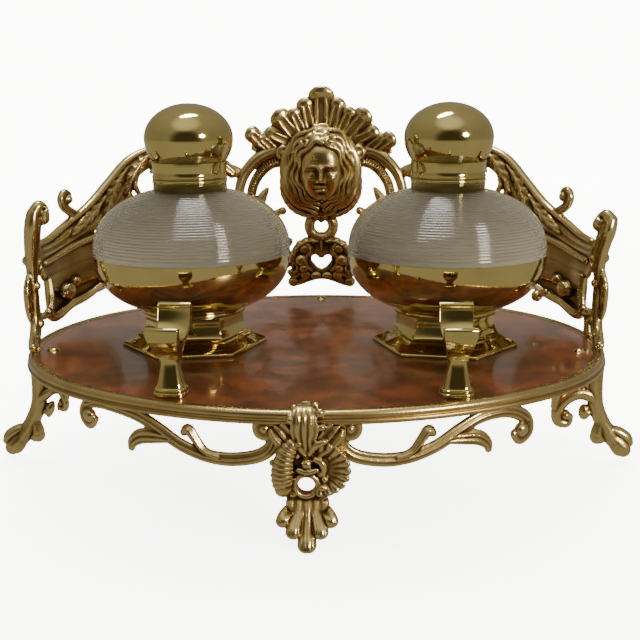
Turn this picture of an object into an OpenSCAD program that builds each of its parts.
// Desk inkstand: an oval board in a cast rim on four cast feet, with a pierced gallery round the
// back, two round wells with reeded glass bodies and hinged ball lids, and two pen rests.
// The origin is on the table under the middle of the oval: X runs right, Y runs back, Z runs up.

/* [Stand] */
// Width of the oval rim
stand_w = 264; // [250:1:290]
// Depth of the oval rim
stand_d = 212; // [192:1:222]
// Height of the board's top over the table
deck_h = 51; // [46:0.5:58]
// Thickness of the board
board_t = 3.8; // [3.2:0.2:5]
// Width of the rim, seen from above
rim_w = 5.5; // [4.6:0.1:7]
// Height that the rim stands over the board
rim_lip = 0.7; // [0.2:0.1:2]
// How far the rim's ledge reaches under the board
ledge_w = 2; // [1.4:0.1:2.2]
// Thickness of the rim's ledge
ledge_t = 1; // [0.8:0.1:1.6]
// Gap all round between the board and the rim
board_gap = 0.1; // [0.05:0.05:0.3]

/* [Wells] */
// Distance between the axes of the two wells
well_pitch = 115.7; // [110:0.5:122]
// How far right of the middle the pair of wells stands
well_shift = 1.8; // [0:0.2:3]
// How far in front of the middle the wells stand
well_front = 2; // [0:0.5:8]
// Greatest radius of a well, where glass meets brass
well_r = 44.8; // [40:0.2:47]
// Corner radius of the hexagonal foot
hex_r = 33.4; // [29:0.2:38]
// Corner radius of the foot's waist
waist_r = 22.4; // [19:0.2:25]
// Height of the hexagonal foot
hex_h = 16; // [13:0.5:20]
// Height of the round moulding between the foot and the bowl
ring_h = 2.6; // [2:0.1:4]
// Height of the joint between glass and brass over the board
joint_h = 43.2; // [39:0.2:48]
// Wall of the spun brass shells
shell_t = 1.2; // [0.8:0.1:1.8]
// Height of the glass dome over the joint
dome_h = 28.2; // [24:0.2:32]
// Thickness of the glass
glass_t = 4; // [3:0.2:5.5]
// Number of reeds cut round the glass
reeds = 28; // [16:1:36]
// Depth of a reed
reed_d = 0.35; // [0.15:0.05:0.6]

/* [Necks and lids] */
// Radius of the neck mount
neck_r = 16.6; // [15:0.1:18]
// Height of the neck mount over the glass
neck_h = 5.2; // [4:0.1:7]
// Bore of the glass neck
mouth_r = 10.5; // [8:0.1:11.5]
// Height of the lid's collar
collar_h = 7.4; // [6:0.1:9]
// Radius of the ball on the lid
ball_r = 19.85; // [18:0.1:21]
// Height of the ball over its collar
ball_h = 25.6; // [22:0.2:28]
// Radius of the hinge knuckles
knuckle_r = 1.7; // [1.4:0.1:2]
// Radius of the hinge pin
pin_r = 0.75; // [0.5:0.05:0.9]
// Length of the hinge along its pin
hinge_l = 13; // [10:0.5:15]
// Running gap round the pin
pin_gap = 0.05; // [0.02:0.01:0.09]

/* [Pen rests] */
// Distance between the two pen rests
rest_pitch = 111; // [104:0.5:116]
// How far in front of the middle the pen rests stand
rest_front = 82.5; // [79:0.5:83]
// Width of a pen rest's cradle
rest_w = 13.2; // [11:0.2:16]
// Height of the back lip of a pen rest
rest_h = 35; // [32:0.5:40]

/* [Gallery and feet] */
// Height of the gallery's crest over the board
gallery_h = 115; // [100:1:125]
// How far the middle of the gallery's wall stands in from the rim's edge
gallery_in = 3; // [2.6:0.1:3.4]
// How far the front and back feet spread past the rim
foot_spread = 9; // [6:0.5:12]
// Distance of the side feet's screws from the middle
side_screw_x = 119; // [117:0.5:121]
// How far in front of the middle the side feet stand
side_front = 16; // [15:0.5:22]
// How far round to the left the two arms of the gallery are set
arm_slip = 3; // [0:0.5:4]
// How far the tips of the posts lean to the right
tip_lean = 4; // [0:0.5:5]
// Radius of the screws that hold the feet
screw_r = 1.6; // [1.2:0.1:2]

/* [Hidden] */
$fn = 64;
brass = "#c9b070";
cast_brass = "#a8874e";

// The oval is drawn with four arcs: two round ends and two long sides that meet them smoothly
half_w = stand_w / 2;
half_d = stand_d / 2;
end_r = 1.081 * half_d * half_d / half_w;
end_x = half_w - end_r;
long_r = (end_x * end_x + half_d * half_d - end_r * end_r) / (2 * (half_d - end_r));
long_y = long_r - half_d;
long_turn = atan2(end_x, long_y);
rad = 180 / PI;

// Heights over the table
board_z = deck_h - board_t;
rim_z = board_z - ledge_t;
ring_z = deck_h + hex_h;
joint_z = deck_h + joint_h;
neck_z = joint_z + dome_h;
part_z = neck_z + neck_h;
crease_z = part_z + collar_h;
ball_z = crease_z + 0.4 * ball_h;
top_z = crease_z + ball_h;

// Places of the wells, rests and screws
well_x = [well_shift - well_pitch / 2, well_shift + well_pitch / 2];
well_y = -well_front;
well_turn = [8, -10];
rest_x = [well_shift - rest_pitch / 2, well_shift + rest_pitch / 2];
rest_turn = [-6, 0];
rest_y = -rest_front;
end_screw_y = half_d - 10;
hinge_y = neck_r + knuckle_r + 0.6;
bolt_r = 2.5;
nut_gap = 0.05;
hole_gap = 0.15;

// Curves of the wells: a rounded square of power 2.3, as a share of its half axes
power = 2.3;
function swell(a, c, t) = [a * pow(max(cos(t), 0), 2 / power), c * pow(max(sin(t), 0), 2 / power)];
function bow(a, c, t0, t1, n) = [for (i = [0:n]) swell(a, c, t0 + (t1 - t0) * i / n)];
// Angle on that curve at which it is r from the axis
function at_radius(a, r) = acos(pow(r / a, power / 2));
function lift(p, z) = [for (q = p) [q.x, q.y + z]];
function turned_down(p) = [for (q = p) [q.x, -q.y]];
function backwards(p) = [for (i = [len(p) - 1:-1:0]) p[i]];

// Places on the oval wall: s runs along it from the middle of the back, d outwards, z up
function wall_l(inset) = (long_r - inset) * long_turn / rad;
side_l = wall_l(gallery_in) + (end_r - gallery_in) * (90 - long_turn) / rad;
function on_wall(s, d, z, inset) =
    let (far = abs(s) > wall_l(inset), r = (far ? end_r : long_r) - inset,
         t = far ? long_turn + (abs(s) - wall_l(inset)) / r * rad : abs(s) / r * rad,
         x = (far ? end_x : 0) + (r + d) * sin(t), y = (far ? 0 : -long_y) + (r + d) * cos(t))
    [s < 0 ? -x : x, y, z];
function facing(s, inset) = let (far = abs(s) > wall_l(inset), r = (far ? end_r : long_r) - inset)
    (far ? long_turn + (abs(s) - wall_l(inset)) / r * rad : abs(s) / r * rad) * (s < 0 ? -1 : 1);

// A strand is a cast scroll: rows of [s, z, half width, half thickness, d], smoothed and swept
function spline(p, k) = concat(
    [for (i = [0:len(p) - 2]) for (j = [0:k - 1])
        let (t = j / k, a = p[max(i - 1, 0)], b = p[i], c = p[i + 1], d = p[min(i + 2, len(p) - 1)])
        0.5 * (2 * b + (c - a) * t + (2 * a - 5 * b + 4 * c - d) * t * t
            + (3 * b - a - 3 * c + d) * t * t * t)],
    [p[len(p) - 1]]);
function across(q, i) = let (u = q[min(i + 1, len(q) - 1)] - q[max(i - 1, 0)],
    l = norm([u[0], u[1]])) [-u[1] / l, u[0] / l];
module strand(rows, k = 2, sides = 6, flat = false) {
    q = spline(rows, k);
    n = len(q);
    points = [for (i = [0:n - 1]) for (j = [0:sides - 1])
        let (v = across(q, i), a = 360 * (j + 0.5) / sides, w = q[i][2] * cos(a),
             s = q[i][0] + v.x * w, z = q[i][1] + v.y * w, d = q[i][4] + q[i][3] * sin(a))
        flat ? [s, d, z] : on_wall(s, d, z, gallery_in)];
    skin = [for (i = [0:n - 2]) for (j = [0:sides - 1])
        let (a = i * sides + j, b = i * sides + (j + 1) % sides)
        [a, b, b + sides, a + sides]];
    polyhedron(concat(points), concat(skin,
        [[for (j = [sides - 1:-1:0]) j]], [[for (j = [0:sides - 1]) (n - 1) * sides + j]]), 4);
}
// A drop is a rounded lobe from one place on the wall to another, thicker at its end
module drop(a, ra, b, rb, flat = false) {
    hull() {
        translate(flat ? [a[0], a[2], a[1]] : on_wall(a[0], a[2], a[1], gallery_in)) sphere(ra, $fn = 6);
        translate(flat ? [b[0], b[2], b[1]] : on_wall(b[0], b[2], b[1], gallery_in)) sphere(rb, $fn = 7);
    }
}
module both() {
    children();
    mirror([1, 0, 0]) children();
}

function oval(inset, n) = [for (i = [0:4 * n - 1])
    let (q = floor(i / n), f = (i % n) / n, odd = q % 2 == 1, k = odd ? 1 - f : f,
         l = wall_l(inset) + (end_r - inset) * (90 - long_turn) / rad, p = on_wall(k * l, 0, 0, inset))
    [(q < 2 ? 1 : -1) * p.x, (q == 0 || q == 3 ? 1 : -1) * p.y]];

module board() {
    color("#8a3f16") difference() {
        translate([0, 0, board_z]) linear_extrude(board_t) polygon(oval(rim_w + board_gap, 30));
        for (x = well_x) translate([x, well_y, 0]) cylinder(r = bolt_r + hole_gap, h = 2 * deck_h);
        for (x = rest_x) translate([x, rest_y, 0]) cylinder(r = screw_r + hole_gap, h = 2 * deck_h);
        at_foot_screws() cylinder(r = screw_r + hole_gap, h = 2 * deck_h);
    }
}

// Section of the rim: an upper bead, a groove and a lower bead outside a band with a ledge
module rim_section(r, in) {
    bead = 1.5;
    translate([r - 1.9, rim_lip - bead]) circle(bead - in);
    translate([r - 1.4, 1.4 - board_t - ledge_t]) circle(1.4 - in);
    translate([r - rim_w + in, -board_t - ledge_t + in])
        square([rim_w - 2 - 2 * in, board_t + ledge_t + rim_lip - 0.5 - 2 * in]);
    translate([r - rim_w - ledge_w + in, -board_t - ledge_t + in]) square([ledge_w + 1, ledge_t - 2 * in]);
}
// The long sides lap into the round ends, a hair smaller, so that the ring is one casting
lap_turn = 0.7;
lap_in = 0.02;
module rim() {
    color(cast_brass) difference() {
        translate([0, 0, deck_h]) {
            both() translate([end_x, 0, 0]) rotate([0, 0, long_turn - 90])
                rotate_extrude(angle = 180 - 2 * long_turn) rim_section(end_r, 0);
            for (g = [0, 180]) rotate([0, 0, g]) translate([0, -long_y, 0])
                rotate([0, 0, 90 - long_turn - lap_turn])
                    rotate_extrude(angle = 2 * (long_turn + lap_turn)) rim_section(long_r, lap_in);
        }
        at_posts() cylinder(r = post_screw_r + hole_gap, h = 2 * deck_h);
    }
}

// Screws that hold the feet, with round heads on the board
module at_foot_screws() {
    for (y = [-end_screw_y, end_screw_y]) translate([0, y, 0]) children();
    for (x = [-side_screw_x, side_screw_x]) translate([x, -side_front, 0]) children();
}
screw_l = 9;
module foot_screws() {
    color(brass) at_foot_screws() translate([0, 0, deck_h]) {
        translate([0, 0, -screw_l]) cylinder(r = screw_r, h = screw_l);
        rotate_extrude() intersection() {
            translate([0, -1.7]) circle(3.4);
            square([4, 4]);
        }
    }
}

// Cast foot of the front and the back: leaf, horn, shell, pierced boss and a palmette that stands
lug_t = 4;
foot_in = 2.2;
module lug(l) {
    difference() {
        hull() {
            cylinder(r = 5, h = lug_t, $fn = 20);
            translate([0, l, 0]) cylinder(r = 5, h = lug_t, $fn = 20);
        }
        translate([0, 0, -1]) cylinder(r = screw_r + hole_gap, h = lug_t + 2, $fn = 20);
    }
}
// The foot is drawn flat, with x across, z over the table and y outwards from the rim's edge
module cartouche() {
    spread = foot_spread;
    difference() {
        union() {
            // backing plate from the rim down to the neck
            hull() {
                translate([0, 0, 34]) rotate([90, 0, 0]) cylinder(r = 11, h = 1.8, $fn = 16);
                translate([0, 0, 24]) rotate([90, 0, 0]) cylinder(r = 9.4, h = 1.8, $fn = 16);
            }
            translate([-7, -1.8, 36]) cube([14, 1.8, rim_z - 36.1]);
            // pierced boss with a bead over it
            translate([0, 2.4, 23.4]) rotate([90, 0, 0]) cylinder(r = 6.2, h = 4, $fn = 16);
            drop([0, 32.8, 0], 2.4, [0, 32.8, 2], 2.4, true);
            // leaf that climbs over the rim, with a petal at each side
            strand([[-0.6, 36, 3.2, 1.6, 2], [-0.6, 43, 5.2, 2.2, 3.4], [-0.6, 48.4, 4.8, 1.8, 3.2],
                [-0.6, 52.2, 3.4, 1.3, 0.8], [-0.6, 53.8, 1.8, 0.9, -2.4]], 1, 8, true);
            for (g = [-1, 1]) strand([[2.4 * g, 37, 2, 1.8, 1.4], [5.6 * g, 41.6, 2.6, 2, 2.6],
                [8.4 * g, 44.6, 2.6, 2, 2.6], [9.6 * g, 42.6, 1.6, 1.4, 2.2]], 1, 6, true);
            // horn on one side
            strand([[-3, 39.6, 2.6, 2.2, 1.4], [-7, 39.8, 4, 2.8, 3.4], [-10.6, 35.6, 4.8, 3, 4.3],
                [-11.2, 29.4, 4.8, 3, 4.3], [-10.4, 23.6, 4.2, 2.8, 3.8], [-8.2, 20.6, 2.4, 2, 2]],
                    2, 7, true);
            // shell on the other side, with ribs that fan out
            for (i = [0:4]) let (a = 36 * i - 72)
                drop([5.6, 28.8, 1], 1.8, [7.6 + 6 * cos(a), 29 + 7.2 * sin(a), 3.2], 2.5, true);
            // band under the boss
            strand([[-8, 19.8, 1.5, 1.8, 1.4], [-4, 16.9, 1.6, 2, 1.6], [0, 16, 1.6, 2, 1.6],
                [4, 16.9, 1.6, 2, 1.6],
                [8, 19.8, 1.5, 1.8, 1.4]], 1, 6, true);
            drop([0, 21, 0], 3, [0, 13.6, 1], 4, true);
            // palmette, five lobes that spread forwards to the table
            for (i = [-2:2]) let (k = abs(i), x = sign(i) * [0, 4.8, 8.8][k], low = [-0.6, 3.6, 7][k],
                w = [3.4, 2.7, 2.5][k])
                strand([[x * 0.6, 21, 1.7, 1.8, 0.8], [x * 0.7, 15.6, 1.9, 2, 1.2],
                    [x * 0.86, 10 + 0.3 * low, 2.3, 2.2, 0.45 * spread],
                    [x, low + 3.8, w, 2.2, (0.9 - 0.08 * k) * spread],
                        [x * 1.04, low, 0.55 * w, 1.6, (1.02 - 0.1 * k) * spread]],
                    1, 6, true);
        }
        translate([0, 8, 23.4]) rotate([90, 0, 0]) cylinder(r = 3.5, h = 20, $fn = 16);
        translate([-20, -20, -10]) cube([40, 40, 10]);
    }
}
module end_foot() {
    difference() {
        union() {
            translate([0, half_d - foot_in, 0]) mirror([1, 0, 0]) scale([1, 1, deck_h / 51]) cartouche();
            translate([0, end_screw_y, rim_z - lug_t]) lug(half_d - end_screw_y - foot_in - 1);
            translate([0, end_screw_y, rim_z - 0.01]) cylinder(r = 3.4, h = ledge_t + 0.01, $fn = 20);
        }
        translate([0, end_screw_y, 0]) cylinder(r = screw_r + hole_gap, h = 2 * deck_h, $fn = 20);
        clear_of_rim();
    }
}
// Room for the rim where a casting laps it
module clear_of_rim() {
    translate([0, 0, rim_z - 0.02]) linear_extrude(board_t + ledge_t + rim_lip + 0.2) difference() {
        polygon(oval(-0.05, 30));
        polygon(oval(rim_w + ledge_w + 0.1, 30));
    }
}
module front_foot() { color(cast_brass) rotate([0, 0, 180]) end_foot(); }
module back_foot() { color(cast_brass) end_foot(); }

// Side foot: a bracket in an upright plane, with an arched scroll, a leg, a heel and a hollow toe
module side_foot() {
    difference() {
        translate([side_screw_x, -side_front, 0]) {
            // leg from the rim to the toe
            strand([[8.6, rim_z - 1, 3, 3.8, 0], [8.2, 36, 2.8, 3.2, 0], [9.2, 26, 2.8, 3, 0],
                [12.2, 18, 3.2, 3.2, 0],
                [16.6, 11, 4.4, 4, 0], [20, 4.6, 5.4, 4.2, 0], [21.6, 0.4, 4.8, 3.6, 0]], 2, 8, true);
            // arched scroll with its curl
            strand([[9.6, 23, 2.4, 2.6, 0], [6, 28.6, 2.6, 3, 0], [0.6, 31, 2.6, 3.2, 0],
                [-5, 28.8, 2.4, 3.2, 0],
                [-9.2, 24, 2.6, 3, 0], [-8.2, 18.6, 2.6, 3.2, 0], [-3.8, 18, 2.2, 3, 0]], 2, 6, true);
            drop([-6.4, 24, 0], 3.6, [-5.8, 21, 0], 4.4, true);
            drop([5.2, 25.6, 0], 2.2, [4.6, 21.8, 0], 3.4, true);
            drop([10.4, 17, 0], 3, [9.6, 12, 0], 4.6, true);
            // fluted web between the scroll and the rim
            for (i = [0:3]) drop([1 + 1.2 * i, 31, 0], 1.8, [-5 + 4.6 * i, rim_z - 2, 0], 2.1, true);
            translate([0, 0, rim_z - lug_t]) rotate([0, 0, -90]) lug(8);
            translate([0, 0, rim_z - 0.01]) cylinder(r = 3.4, h = ledge_t + 0.01, $fn = 20);
        }
        translate([side_screw_x, -side_front, rim_z - lug_t - 2])
            cylinder(r = screw_r + hole_gap, h = deck_h, $fn = 20);
        translate([side_screw_x + 26.4, -side_front, 14.5]) rotate([0, 32, 0]) cylinder(r = 3.4,
            h = 16, center = true, $fn = 14);
        translate([80, -60, -10]) cube([100, 100, 10]);
        clear_of_rim();
    }
}
module right_foot() { color(cast_brass) side_foot(); }
module left_foot() { color(cast_brass) mirror([1, 0, 0]) side_foot(); }

// Scroll under the front of the rim, drawn along the back wall and turned to the front
scroll_d = gallery_in - foot_in - 1;
module apron_scroll() {
    difference() {
        union() {
            strand([for (r = [[14.6, -8.4, 1.6], [16, -10.6, 1.7], [18.6, -9.4, 1.9], [19, -5.8, 2],
                [15.6, -3.9, 2.2],
                [12.6, -6.6, 2.4], [12.4, -11.6, 2.6], [14.6, -15.8, 2.8], [20, -18.8, 2.8],
                    [30, -20.4, 2.8], [40, -19.6, 2.7],
                [50, -16.4, 2.7], [59, -11.4, 2.8], [68, -7.4, 2.8], [78, -5.8, 2.7], [88, -6, 2.4],
                    [94.4, -9.4, 2.3],
                [94.8, -14.6, 2.3], [90.6, -16.6, 2.2], [88.2, -13.4, 2]]) [r[0], deck_h + r[1], r[2],
                    1.9, scroll_d]], 2, 6);
            // leaf that springs back under the scroll
            strand([for (r = [[54, -15, 2], [61, -14.8, 3.2], [67.6, -15.4, 3.4], [71.8, -18.6, 2.6],
                [73, -21.6, 1.6]])
                [r[0], deck_h + r[1], r[2], 1.8, scroll_d]], 2, 6);
            // bud on top of the scroll
            strand([for (r = [[38.6, -18.6, 1.6], [41.8, -16.4, 1.8], [44, -12, 2.2],
                [46.6, -9.8, 2.5], [48.8, -11.8, 1.7]])
                [r[0], deck_h + r[1], r[2], 1.9, scroll_d]], 2, 6);
            for (p = [[91, -12.8, 2], [15.8, -7.2, 2], [61, -13.4, 2.6]])
                drop([p[0] - 0.8, deck_h + p[1] + 0.8, scroll_d], p[2] - 0.2, [p[0], deck_h + p[1],
                    scroll_d], p[2]);
        }
        clear_of_rim();
        // room for the plate of the front foot, with the soldered faces together
        translate([-12, half_d - 16, 10]) cube([24, 20, 40]);
    }
}
module front_scroll_right() { color(cast_brass) rotate([0, 0, 180]) mirror([1, 0, 0]) apron_scroll(); }
module front_scroll_left() { color(cast_brass) rotate([0, 0, 180]) apron_scroll(); }

// Gallery: heights and lengths are drawn for a crest of 115 and a quarter wall of 183
gz = gallery_h / 115;
gs = side_l / 183;
gk = max(gz, gs);
function laid(rows) = [for (r = rows) [r[0] * gs, deck_h + r[1] * gz, r[2] * gk, r[3],
    len(r) > 4 ? r[4] : 0]];
module lobe(a, ra, b, rb) {
    drop([a[0] * gs, deck_h + a[1] * gz, len(a) > 2 ? a[2] : 0], ra * gk,
        [b[0] * gs, deck_h + b[1] * gz, len(b) > 2 ? b[2] : 0], rb * gk);
}
lap_s = 52;
lap_z = 71;
post_s = 188.4;
post_screw_r = 1.2;
post_screw_l = 11;
module at_posts() {
    for (g = [-1, 1]) translate(on_wall(g * (post_s - g * arm_slip) * gs, 0, 0, gallery_in)) children();
}
module at_laps() {
    for (g = [-1, 1]) translate(on_wall(g * lap_s * gs, 0, deck_h + lap_z * gz, gallery_in))
        rotate([0, 0, -facing(g * lap_s * gs, gallery_in)]) rotate([90, 0, 0]) children();
}
module gallery_centre() {
    wall_y = half_d - gallery_in;
    color(cast_brass) difference() {
        union() {
            // shell crest behind the head
            for (p = [[0, 108.4, 6.6, -1], [8.8, 102.4, 4.4, 0], [15.4, 97.6, 4.4, 0],
                [22, 96.6, 4.6, 0], [31, 85.8, 4, 0],
                [37, 86, 3.8, 0]]) for (g = p[0] == 0 ? [1] : [-1, 1])
                lobe([0.5 * g * p[0], p[0] > 30 ? 79 : 86], 3.6, [g * p[0], p[1], p[3]], p[2]);
            lobe([0, 83], 4.6, [0, 92], 5);
            // roundel, head and hair of the mask
            translate([0, wall_y + 2, deck_h + 71 * gz]) scale([gk, 1, 1.14 * gk]) rotate([90, 0, 0])
                cylinder(r = 21.4, h = 4.4, $fn = 20);
            translate([0, wall_y - 5, deck_h + 71.6 * gz]) scale([0.74, 0.6, 1]) sphere(16 * gk, $fn = 14);
            for (i = [0:9]) let (a = 36 * i + 18, x = 15.4 * sin(a), z = 71.4 + 18 * cos(a))
                lobe([x, z, -3], 3, [x * 1.12, z + 0.6, -4], i > 2 && i < 7 ? 3.8 : 4.8);
            lobe([0, 77, -13], 1.2, [0, 70, -14.4], 1.7);
            both() {
                // two ribbed arches and the knob that they spring from
                strand(laid([[17, 80, 3.6, 2.8], [26, 80.6, 3.8, 2.8], [34, 77.6, 3.5, 2.8],
                    [40.8, 71, 3.1, 2.6],
                    [44.4, 63, 2.7, 2.4], [45.4, 53, 2.5, 2.2], [43, 43.4, 2.4, 2.2],
                        [37, 36, 2.4, 2.2], [28, 31.4, 2.4, 2.2],
                    [18, 30.6, 2.4, 2]]), 2, 5);
                strand(laid([[19, 76.4, 2.3, 2.2], [26.6, 74.6, 2.5, 2.2], [32.6, 69.6, 2.5, 2.2],
                    [36.4, 62.6, 2.3, 2],
                    [37.4, 54, 2.1, 2], [35.6, 47, 2, 2], [31.6, 41, 2, 2], [29, 34, 2, 2]]), 2, 5);
                lobe([20.4, 80.4, -2], 3.6, [21.2, 80, -4], 4.4);
                // strut that carries the side arm
                strand(laid([[43, 69, 2.6, 1.8], [49, 71.4, 3.4, 1.8, 1], [55, 72.6, 3, 1.4, 1.6]]), 1, 6);
                // leaf that rises between the mask and the arches
                strand(laid([[32.4, 40, 2, 1.6], [32, 47, 2.8, 1.8], [29.6, 54, 2.4, 1.6],
                    [29.4, 59, 1.4, 1]]), 1, 5);
                strand(laid([[31, 44, 1.8, 1.6], [26, 47, 2.2, 1.6], [21.4, 48.6, 1.8, 1.4]]), 1, 5);
                // scrolls of the lower cluster round the heart-shaped opening
                strand(laid([[1, 33, 3.2, 2.4], [9, 31.4, 4, 2.6], [14.4, 26.6, 4.6, 2.8],
                    [15.6, 19.4, 4.6, 2.8],
                    [12.4, 13.4, 4, 2.6], [6, 11.6, 3.4, 2.4], [-1, 11.6, 3, 2.2]]));
                strand(laid([[17, 20, 2.6, 2], [25, 17, 2.8, 2], [32, 18.6, 2.6, 2], [36, 24, 2.3, 2],
                    [34, 30.6, 2, 2]]), 1, 5);
                lobe([10, 26.6, -1], 3, [7.4, 23.4, -1.4], 2.8);
                lobe([15, 13, -1], 2.8, [15.4, 9.4, -1], 3.2);
            }
            // ring under the chin
            translate([0, wall_y, deck_h + 40 * gz]) rotate([90, 0, 0]) difference() {
                cylinder(r = 8.6 * gk, h = 4.4, center = true, $fn = 16);
                cylinder(r = 3.6, h = 9, center = true, $fn = 12);
            }
            lobe([0, 33], 2.4, [0, 30, 0], 2.6);
        }
        at_laps() cylinder(r = lap_screw_r + hole_gap, h = 20, center = true, $fn = 16);
        lap_gap();
    }
}
// The centre's strut lies outside the arm's end, with their faces together
lap_screw_r = 1.1;
lap_face = 0.4;
module lap_gap() {
    for (g = [-1, 1]) translate(on_wall(g * lap_s * gs, lap_face, deck_h + lap_z * gz, gallery_in))
        rotate([0, 0, -facing(g * lap_s * gs, gallery_in)]) translate([g > 0 ? -4 : -7, -8,
            -8]) cube([11, 8, 16]);
}
// An arm is drawn as the right one: g is 1 for the left arm, which is the mirrored one,
// and -1 for the right
function slid(r, g) = let (k = min(max((r[0] - 60) / 100, 0), 1), u = r[0] > 176 ? max(r[1] - 42,
    0) / 24 : 0)
    [r[0] + g * arm_slip * k, r[1], r[2], r[3], (len(r) > 4 ? r[4] : 0) - g * tip_lean * u];
module limb(rows, g, sides = 6) { strand(laid([for (r = rows) slid(r, g)]), 2, sides); }
module bump(a, ra, b, rb, g) {
    p = slid([a[0], a[1], 0, 0, len(a) > 2 ? a[2] : 0], g);
    q = slid([b[0], b[1], 0, 0, len(b) > 2 ? b[2] : 0], g);
    lobe([p[0], p[1], p[4]], ra, [q[0], q[1], q[4]], rb);
}
module arm(g) {
    difference() {
        union() {
            // leafy arm from the centre down to the end post
            limb([[49, 70, 3, 2, -2.2], [56, 75.4, 4.4, 2, -1.6], [66, 80, 5.2, 2.4, -0.6],
                [80, 82, 5.4, 2.6],
                [94, 80, 5.6, 2.6], [104, 75, 6.6, 2.8], [113, 65.6, 8, 3], [123, 57, 8.6, 3],
                    [134, 50.4, 7.8, 3],
                [148, 45.2, 6.8, 2.8], [163, 42, 5.8, 2.6], [176, 41.6, 5, 2.6], [185, 44, 4.2, 2.6]],
                    g, 8);
            // hanging leaf near the well
            limb([[106, 71, 3.4, 2], [107.4, 64, 3.4, 2.2], [105.6, 58, 2.8, 2], [102, 54, 1.6, 1.4]], g);
            // fluted shell panel between the arm and the lower edge
            for (i = [0:3]) limb([[118 + 3 * i, 39.6 - 8.8 * i, 4, 1.4, -0.5],
                [134, 38.6 - 8.4 * i, 4.9, 1.7, 1.2],
                [152, 36 - 8 * i, 4.9, 1.7, 1.5], [170, 34.4 - 7.6 * i, 4.4, 1.8, 0]], g);
            bump([133, 14, 0], 3, [126, 10.4, 0], 3.2, g);
            bump([136, 13, 0], 2.4, [133, 7.4, 0], 2, g);
            // bud on the arm
            limb([[136, 53, 2.6, 2], [142.4, 55.8, 2.6, 2], [149, 60, 3, 2.6], [148.2, 64.6, 2.8, 2.6],
                [144.6, 65, 1.8, 1.6]], g);
            // end post, with its curled tip and the scroll that lies on the rim
            limb([[206, 3.2, 2.2, 2.2], [198, 4, 3, 2.6], [190, 6, 3.6, 2.8], [185, 13, 3.2, 2.8],
                [185.4, 22, 2.8, 2.6],
                [188, 30, 3, 2.8], [187, 38, 3.6, 3], [187.6, 47, 4.4, 3.6], [190.6, 54.6, 4.6, 3.8],
                    [190.8, 60.6, 3.8, 3.4],
                [187, 62.4, 2.8, 2.8], [184.8, 59.4, 2, 2.2]], g, 8);
            // leaf that hangs on the outer side of the post
            limb([[190, 34, 2, 1.6, 1], [192, 26, 2.6, 2, 2.4], [191.4, 16, 2, 1.8, 2.4],
                [190, 11, 1.2, 1.2, 1.6]], g);
            bump([188, 40, 1], 2.4, [189, 40.6, 3], 2.6, g);
            // curl between the panel and the post, and the short leg under the panel
            limb([[158, 10, 2.8, 1.8], [167, 7.8, 2.8, 1.8], [176, 9.6, 2.8, 2], [185, 15, 2.6, 2]], g);
            limb([[158, 13, 2.4, 1.8], [160.4, 8, 2, 1.8], [161.6, 3, 1.8, 1.8], [162, 1.2, 2.2, 1.8]], g);
        }
        translate([0, 0, -1]) linear_extrude(deck_h + rim_lip + 1.02) polygon([[0, -200], [300, -200],
            [300, 300], [0, 300]]);
        translate(on_wall((post_s + g * arm_slip) * gs, 0, deck_h - 1, gallery_in))
            cylinder(r = post_screw_r + hole_gap, h = 8, $fn = 16);
        at_laps() cylinder(r = lap_screw_r + hole_gap, h = 20, center = true, $fn = 16);
        strut_space();
    }
}
module strut_space() {
    translate(on_wall(lap_s * gs, lap_face + 0.05, deck_h + lap_z * gz, gallery_in))
        rotate([0, 0, -facing(lap_s * gs, gallery_in)]) translate([-12, 0, -10]) cube([19, 8, 20]);
    translate(on_wall(40 * gs, 0, deck_h + 60 * gz, gallery_in)) translate([-6, -10, -20]) cube([14.6,
        20, 60]);
}
module gallery_right() { color(cast_brass) arm(-1); }
module gallery_left() { color(cast_brass) mirror([1, 0, 0]) arm(1); }
module gallery_screws() {
    color(brass) at_laps() {
        translate([0, 0, -3.2]) cylinder(r = lap_screw_r, h = 6.4);
        translate([0, 0, -4.4]) cylinder(r = 2.2, h = 1.2);
    }
}
module post_screws() {
    color(brass) at_posts() translate([0, 0, rim_z]) {
        cylinder(r = post_screw_r, h = post_screw_l);
        translate([0, 0, -1.2]) cylinder(r = 2.2, h = 1.2);
    }
}

// One well, drawn at its own axis and named by its side: 0 is left, 1 is right
module at_well(i) { translate([well_x[i], well_y, 0]) children(); }
module well_foot(i) {
    t = shell_t + 0.6;
    low = 5.6;
    slope = [for (k = [0:6]) let (a = 15 * k)
        [waist_r + (hex_r - 7.6 - waist_r) * (1 - sin(a)), low + (hex_h - low - 3) * (1 - cos(a))]];
    outer = concat([[hex_r, 0], [hex_r, 1.2], [hex_r - 1.2, 2.1], [hex_r - 4.6, 3.6],
        [hex_r - 7, 4.8]], slope,
        [[waist_r, hex_h]]);
    inner = [[bolt_r + 0.7, hex_h], [bolt_r + 0.7, hex_h - t], [waist_r - t - 1, hex_h - t],
        [waist_r - t, hex_h - t - 2],
        [waist_r - t + 0.6, 8], [hex_r - 9.6, 3.4], [hex_r - 5, 1.4], [hex_r - 3, 0]];
    color(brass) at_well(i) rotate([0, 0, well_turn[i]]) translate([0, 0, deck_h])
        rotate_extrude($fn = 6) polygon(concat(outer, inner));
}
bowl_c = joint_h - hex_h + 0.5;
ring_r = waist_r + 1.2;
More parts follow.
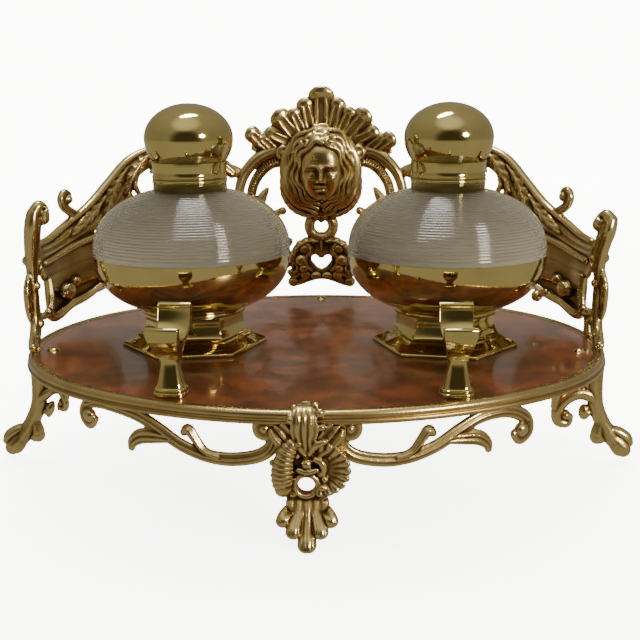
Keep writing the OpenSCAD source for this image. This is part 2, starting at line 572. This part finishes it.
module bowl(i) {
    a0 = at_radius(well_r, ring_r);
    outer = lift(turned_down(bow(well_r, bowl_c, 0, a0, 22)), joint_z);
    bead = [for (k = [1:8]) let (t = 90 - 180 * k / 8)
        [ring_r - 0.6 + 0.9 * cos(t), ring_z + ring_h / 2 + ring_h / 2 * sin(t)]];
    inner = lift(turned_down(bow(well_r - shell_t, bowl_c - shell_t, 0, 86, 22)), joint_z);
    floor_z = inner[len(inner) - 1].y;
    color(brass) at_well(i) {
        rotate_extrude() polygon(concat(outer, bead, [[bolt_r + hole_gap, ring_z],
            [bolt_r + hole_gap, floor_z]],
            backwards(inner)));
    }
}
// Glass bottle: the reeded dome shows, and the lower half sits in the bowl on its shoulder
lip_h = 2.2;
neck_glass_r = neck_r - 2.5;
module glass(i) {
    a1 = at_radius(well_r, neck_r + 0.3);
    crown = swell(well_r, dome_h / pow(sin(a1), 2 / power), a1);
    dome_c = dome_h / pow(sin(a1), 2 / power);
    reed = [for (k = [0:2 * reeds]) let (t = a1 * (0.03 + 0.94 * k / (2 * reeds)), p = swell(well_r,
        dome_c, t))
        [p.x - (k % 2 == 0 ? reed_d : 0), p.y - (k % 2 == 0 ? reed_d * 0.6 : 0)]];
    low_a = well_r - shell_t - 0.4;
    low_c = bowl_c - shell_t - 0.4;
    low = turned_down(bow(low_a, low_c, 0, 62, 12));
    hollow_up = bow(well_r - glass_t, dome_c - glass_t, 0, at_radius(well_r - glass_t, mouth_r + 1), 14);
    hollow_low = turned_down(bow(low_a - glass_t, low_c - glass_t - 1, 0, 60, 10));
    color("#c9ccc6", 0.5) at_well(i) rotate_extrude() polygon(concat(
        [[0, low[12].y + joint_z]], backwards(lift(low, joint_z)), [[well_r - 0.1, joint_z + 0.02]],
        lift(reed, joint_z), [[neck_r + 0.3, neck_z], [neck_glass_r, neck_z],
            [neck_glass_r, part_z + lip_h - 0.6],
        [neck_glass_r - 0.6, part_z + lip_h], [mouth_r + 0.4, part_z + lip_h],
            [mouth_r, part_z + lip_h - 0.4]],
        [[mouth_r, hollow_up[14].y + joint_z + 1.4]], lift(backwards(hollow_up), joint_z),
        lift(hollow_low, joint_z), [[0, hollow_low[10].y + joint_z]]));
}
// Neck mount, with the upstand that the lid shuts over and the two outer knuckles
collar_t = 1.2;
mount_gap = 0.1;
knuckle_gap = 0.2;
mid_l = 0.36 * hinge_l;
module barrel(x0, x1) {
    translate([x0, hinge_y, part_z]) rotate([0, 90, 0]) difference() {
        cylinder(r = knuckle_r, h = x1 - x0);
        translate([0, 0, -1]) cylinder(r = pin_r + pin_gap, h = x1 - x0 + 2);
    }
}
module neck_mount(i) {
    r0 = neck_glass_r + mount_gap;
    up_r = neck_r - collar_t - 0.25;
    x1 = mid_l / 2 + knuckle_gap;
    x2 = hinge_l / 2;
    color(brass) at_well(i) {
        difference() {
            union() {
                rotate_extrude() {
                    polygon([[r0, neck_z + 0.02], [neck_r, neck_z + 0.02], [neck_r, part_z - 1.6],
                        [neck_r + 0.3, part_z - 1.2],
                        [neck_r + 0.3, part_z - 0.5], [neck_r, part_z - 0.05], [up_r, part_z - 0.05],
                        [up_r, part_z + lip_h - 0.4], [up_r - 0.3, part_z + lip_h], [r0, part_z + lip_h]]);
                }
                for (g = [-1, 1]) translate([g > 0 ? x1 : -x2, neck_r - 1.4, part_z - 3.4])
                    cube([x2 - x1, knuckle_r + 1.7, 2.9]);
                barrel(x1, x2);
                barrel(-x2, -x1);
            }
            translate([-hinge_l, hinge_y, part_z]) rotate([0, 90, 0]) cylinder(r = pin_r + pin_gap,
                h = 2 * hinge_l);
            translate([0, 0, neck_z - 1]) cylinder(r = r0, h = neck_h + lip_h + 3);
        }
    }
}
module lid_collar(i) {
    in_r = neck_r - collar_t;
    color(brass) at_well(i) {
        difference() {
            union() {
                rotate_extrude() polygon([[in_r, part_z + 0.05], [neck_r - 0.1, part_z + 0.05],
                    [neck_r + 0.3, part_z + 0.5],
                    [neck_r + 0.3, part_z + 1.1], [neck_r - 0.1, part_z + 1.5],
                        [neck_r + 0.2, crease_z - 0.6],
                    [neck_r + 0.2, crease_z], [in_r, crease_z]]);
                translate([-mid_l / 2, neck_r - 1, part_z + 0.4]) cube([mid_l, knuckle_r + 1.3, 2.6]);
                barrel(-mid_l / 2, mid_l / 2);
            }
            translate([-hinge_l, hinge_y, part_z]) rotate([0, 90, 0]) cylinder(r = pin_r + pin_gap,
                h = 2 * hinge_l);
            translate([0, 0, part_z - 3]) cylinder(r = in_r, h = collar_h + 6);
        }
    }
}
// Hollow spun ball, with the sharp crease where it meets the collar
module lid_ball(i) {
    foot_r = neck_r - 0.3;
    low = ball_z - crease_z;
    up = top_z - ball_z;
    a0 = acos(foot_r / ball_r);
    outer = concat([for (k = [0:8]) let (t = a0 * (1 - k / 8)) [ball_r * cos(t),
        ball_z - low / sin(a0) * sin(t)]],
        [for (k = [1:20]) let (t = 4.5 * k) [k == 20 ? 0 : ball_r * cos(t), ball_z + up * sin(t)]]);
    w = shell_t;
    inner = concat([[foot_r - w - 0.2, crease_z]], [for (k = [0:6]) let (t = a0 * (1 - k / 6) * 0.9)
        [(ball_r - w) * cos(t), ball_z - (low / sin(a0) - w) * sin(t)]],
        [for (k = [1:14]) let (t = 90 * k / 14) [k == 14 ? 0 : (ball_r - w) * cos(t),
            ball_z + (up - w) * sin(t)]]);
    color(brass) at_well(i) rotate_extrude() polygon(concat(outer, backwards(inner)));
}
module hinge_pin(i) {
    color(brass) at_well(i) translate([-hinge_l / 2 - 0.3, hinge_y, part_z]) rotate([0, 90, 0])
        cylinder(r = pin_r, h = hinge_l + 0.6);
}
// Bolt down through bowl, foot and board, with its washer and nut under the board
washer_t = 1;
nut_t = 3.4;
bolt_head = 2;
module well_bolts() {
    floor_z = joint_z - swell(well_r - shell_t, bowl_c - shell_t, 86).y;
    low_z = board_z - washer_t - nut_t - 1.6;
    color("#9a8a60") for (i = [0, 1]) at_well(i) {
        translate([0, 0, low_z]) cylinder(r = bolt_r, h = floor_z - low_z + 0.5);
        translate([0, 0, floor_z]) cylinder(r = 4.2, h = bolt_head);
    }
}
module well_washers() {
    color(brass) for (i = [0, 1]) at_well(i) translate([0, 0, board_z - washer_t]) difference() {
        cylinder(r = 7, h = washer_t);
        translate([0, 0, -1]) cylinder(r = bolt_r + hole_gap, h = 4);
    }
}
module well_nuts() {
    color(brass) for (i = [0, 1]) at_well(i) translate([0, 0, board_z - washer_t - nut_t]) difference() {
        cylinder(r = 5.4, h = nut_t, $fn = 6);
        translate([0, 0, -1]) cylinder(r = bolt_r + nut_gap, h = nut_t + 2);
    }
}

// Pen rest: a cradle with a low front lip and a high back lip on a waisted stem, with a stud
// down through the board
stud_l = 6.6;
module pen_rest(i) {
    h = rest_h;
    side = [[-6, 0], [-6, 2], [-4.6, 2.6], [-3.4, 8], [-2.9, 13], [-3.6, 17], [-7.4, h - 15.8],
        [-10.8, h - 11.6],
        [-12, h - 8.2], [-12, h - 6.2], [-11.4, h - 5.6], [-10.2, h - 5.8], [-9, h - 8.6],
            [-6.4, h - 11.2], [-2.6, h - 12.4],
        [1.6, h - 11.4], [5, h - 8.2], [7, h - 3.6], [7.8, h - 0.6], [8.6, h], [10.2, h],
            [11, h - 0.8], [11, h - 3],
        [9.8, h - 7.6], [7, h - 12.8], [4, h - 18.4], [2.9, 13], [3.4, 8], [4.6, 2.6], [6, 2], [6, 0]];
    front = [[-6.8, 0], [-6.8, 2.2], [-6, 3], [-4.4, 8], [-3.5, 14], [-4.4, 18],
        [-rest_w / 2 + 0.9, h - 10.4],
        [-rest_w / 2 + 0.3, h - 8.2], [-rest_w / 2, h - 7.8], [-rest_w / 2, h + 2], [rest_w / 2, h + 2],
        [rest_w / 2, h - 7.8], [rest_w / 2 - 0.3, h - 8.2], [rest_w / 2 - 0.9, h - 10.4], [4.4, 18],
            [3.5, 14], [4.4, 8],
        [6, 3], [6.8, 2.2], [6.8, 0]];
    color(brass) difference() {
        translate([rest_x[i], rest_y, deck_h]) rotate([0, 0, rest_turn[i]]) {
            intersection() {
                rotate([90, 0, 90]) translate([0, 0, -20]) linear_extrude(40) polygon(side);
                rotate([90, 0, 0]) translate([0, 0, -20]) linear_extrude(40) polygon(front);
            }
            translate([0, 0, -board_t - stud_l]) cylinder(r = screw_r, h = board_t + stud_l + 0.5);
        }
        // corner filed away where the base meets the rim
        translate([0, 0, deck_h - 1]) linear_extrude(1 + rim_lip + 0.1) difference() {
            polygon(oval(-20, 30));
            polygon(oval(rim_w + board_gap, 30));
        }
    }
}
module pen_rest_nuts() {
    color(brass) for (x = rest_x) translate([x, rest_y, board_z - 2.6]) difference() {
        cylinder(r = 3.3, h = 2.6, $fn = 6);
        translate([0, 0, -1]) cylinder(r = screw_r + nut_gap, h = 5);
    }
}

board();
rim();
front_foot();
back_foot();
left_foot();
right_foot();
front_scroll_left();
front_scroll_right();
foot_screws();
gallery_centre();
gallery_left();
gallery_right();
gallery_screws();
post_screws();
well_foot(0);  // well_foot_left
well_foot(1);  // well_foot_right
bowl(0);  // bowl_left
bowl(1);  // bowl_right
glass(0);  // glass_left
glass(1);  // glass_right
neck_mount(0);  // neck_mount_left
neck_mount(1);  // neck_mount_right
lid_collar(0);  // lid_collar_left
lid_collar(1);  // lid_collar_right
lid_ball(0);  // lid_ball_left
lid_ball(1);  // lid_ball_right
hinge_pin(0);  // hinge_pin_left
hinge_pin(1);  // hinge_pin_right
well_bolts();
well_washers();
well_nuts();
pen_rest(0);  // pen_rest_left
pen_rest(1);  // pen_rest_right
pen_rest_nuts();
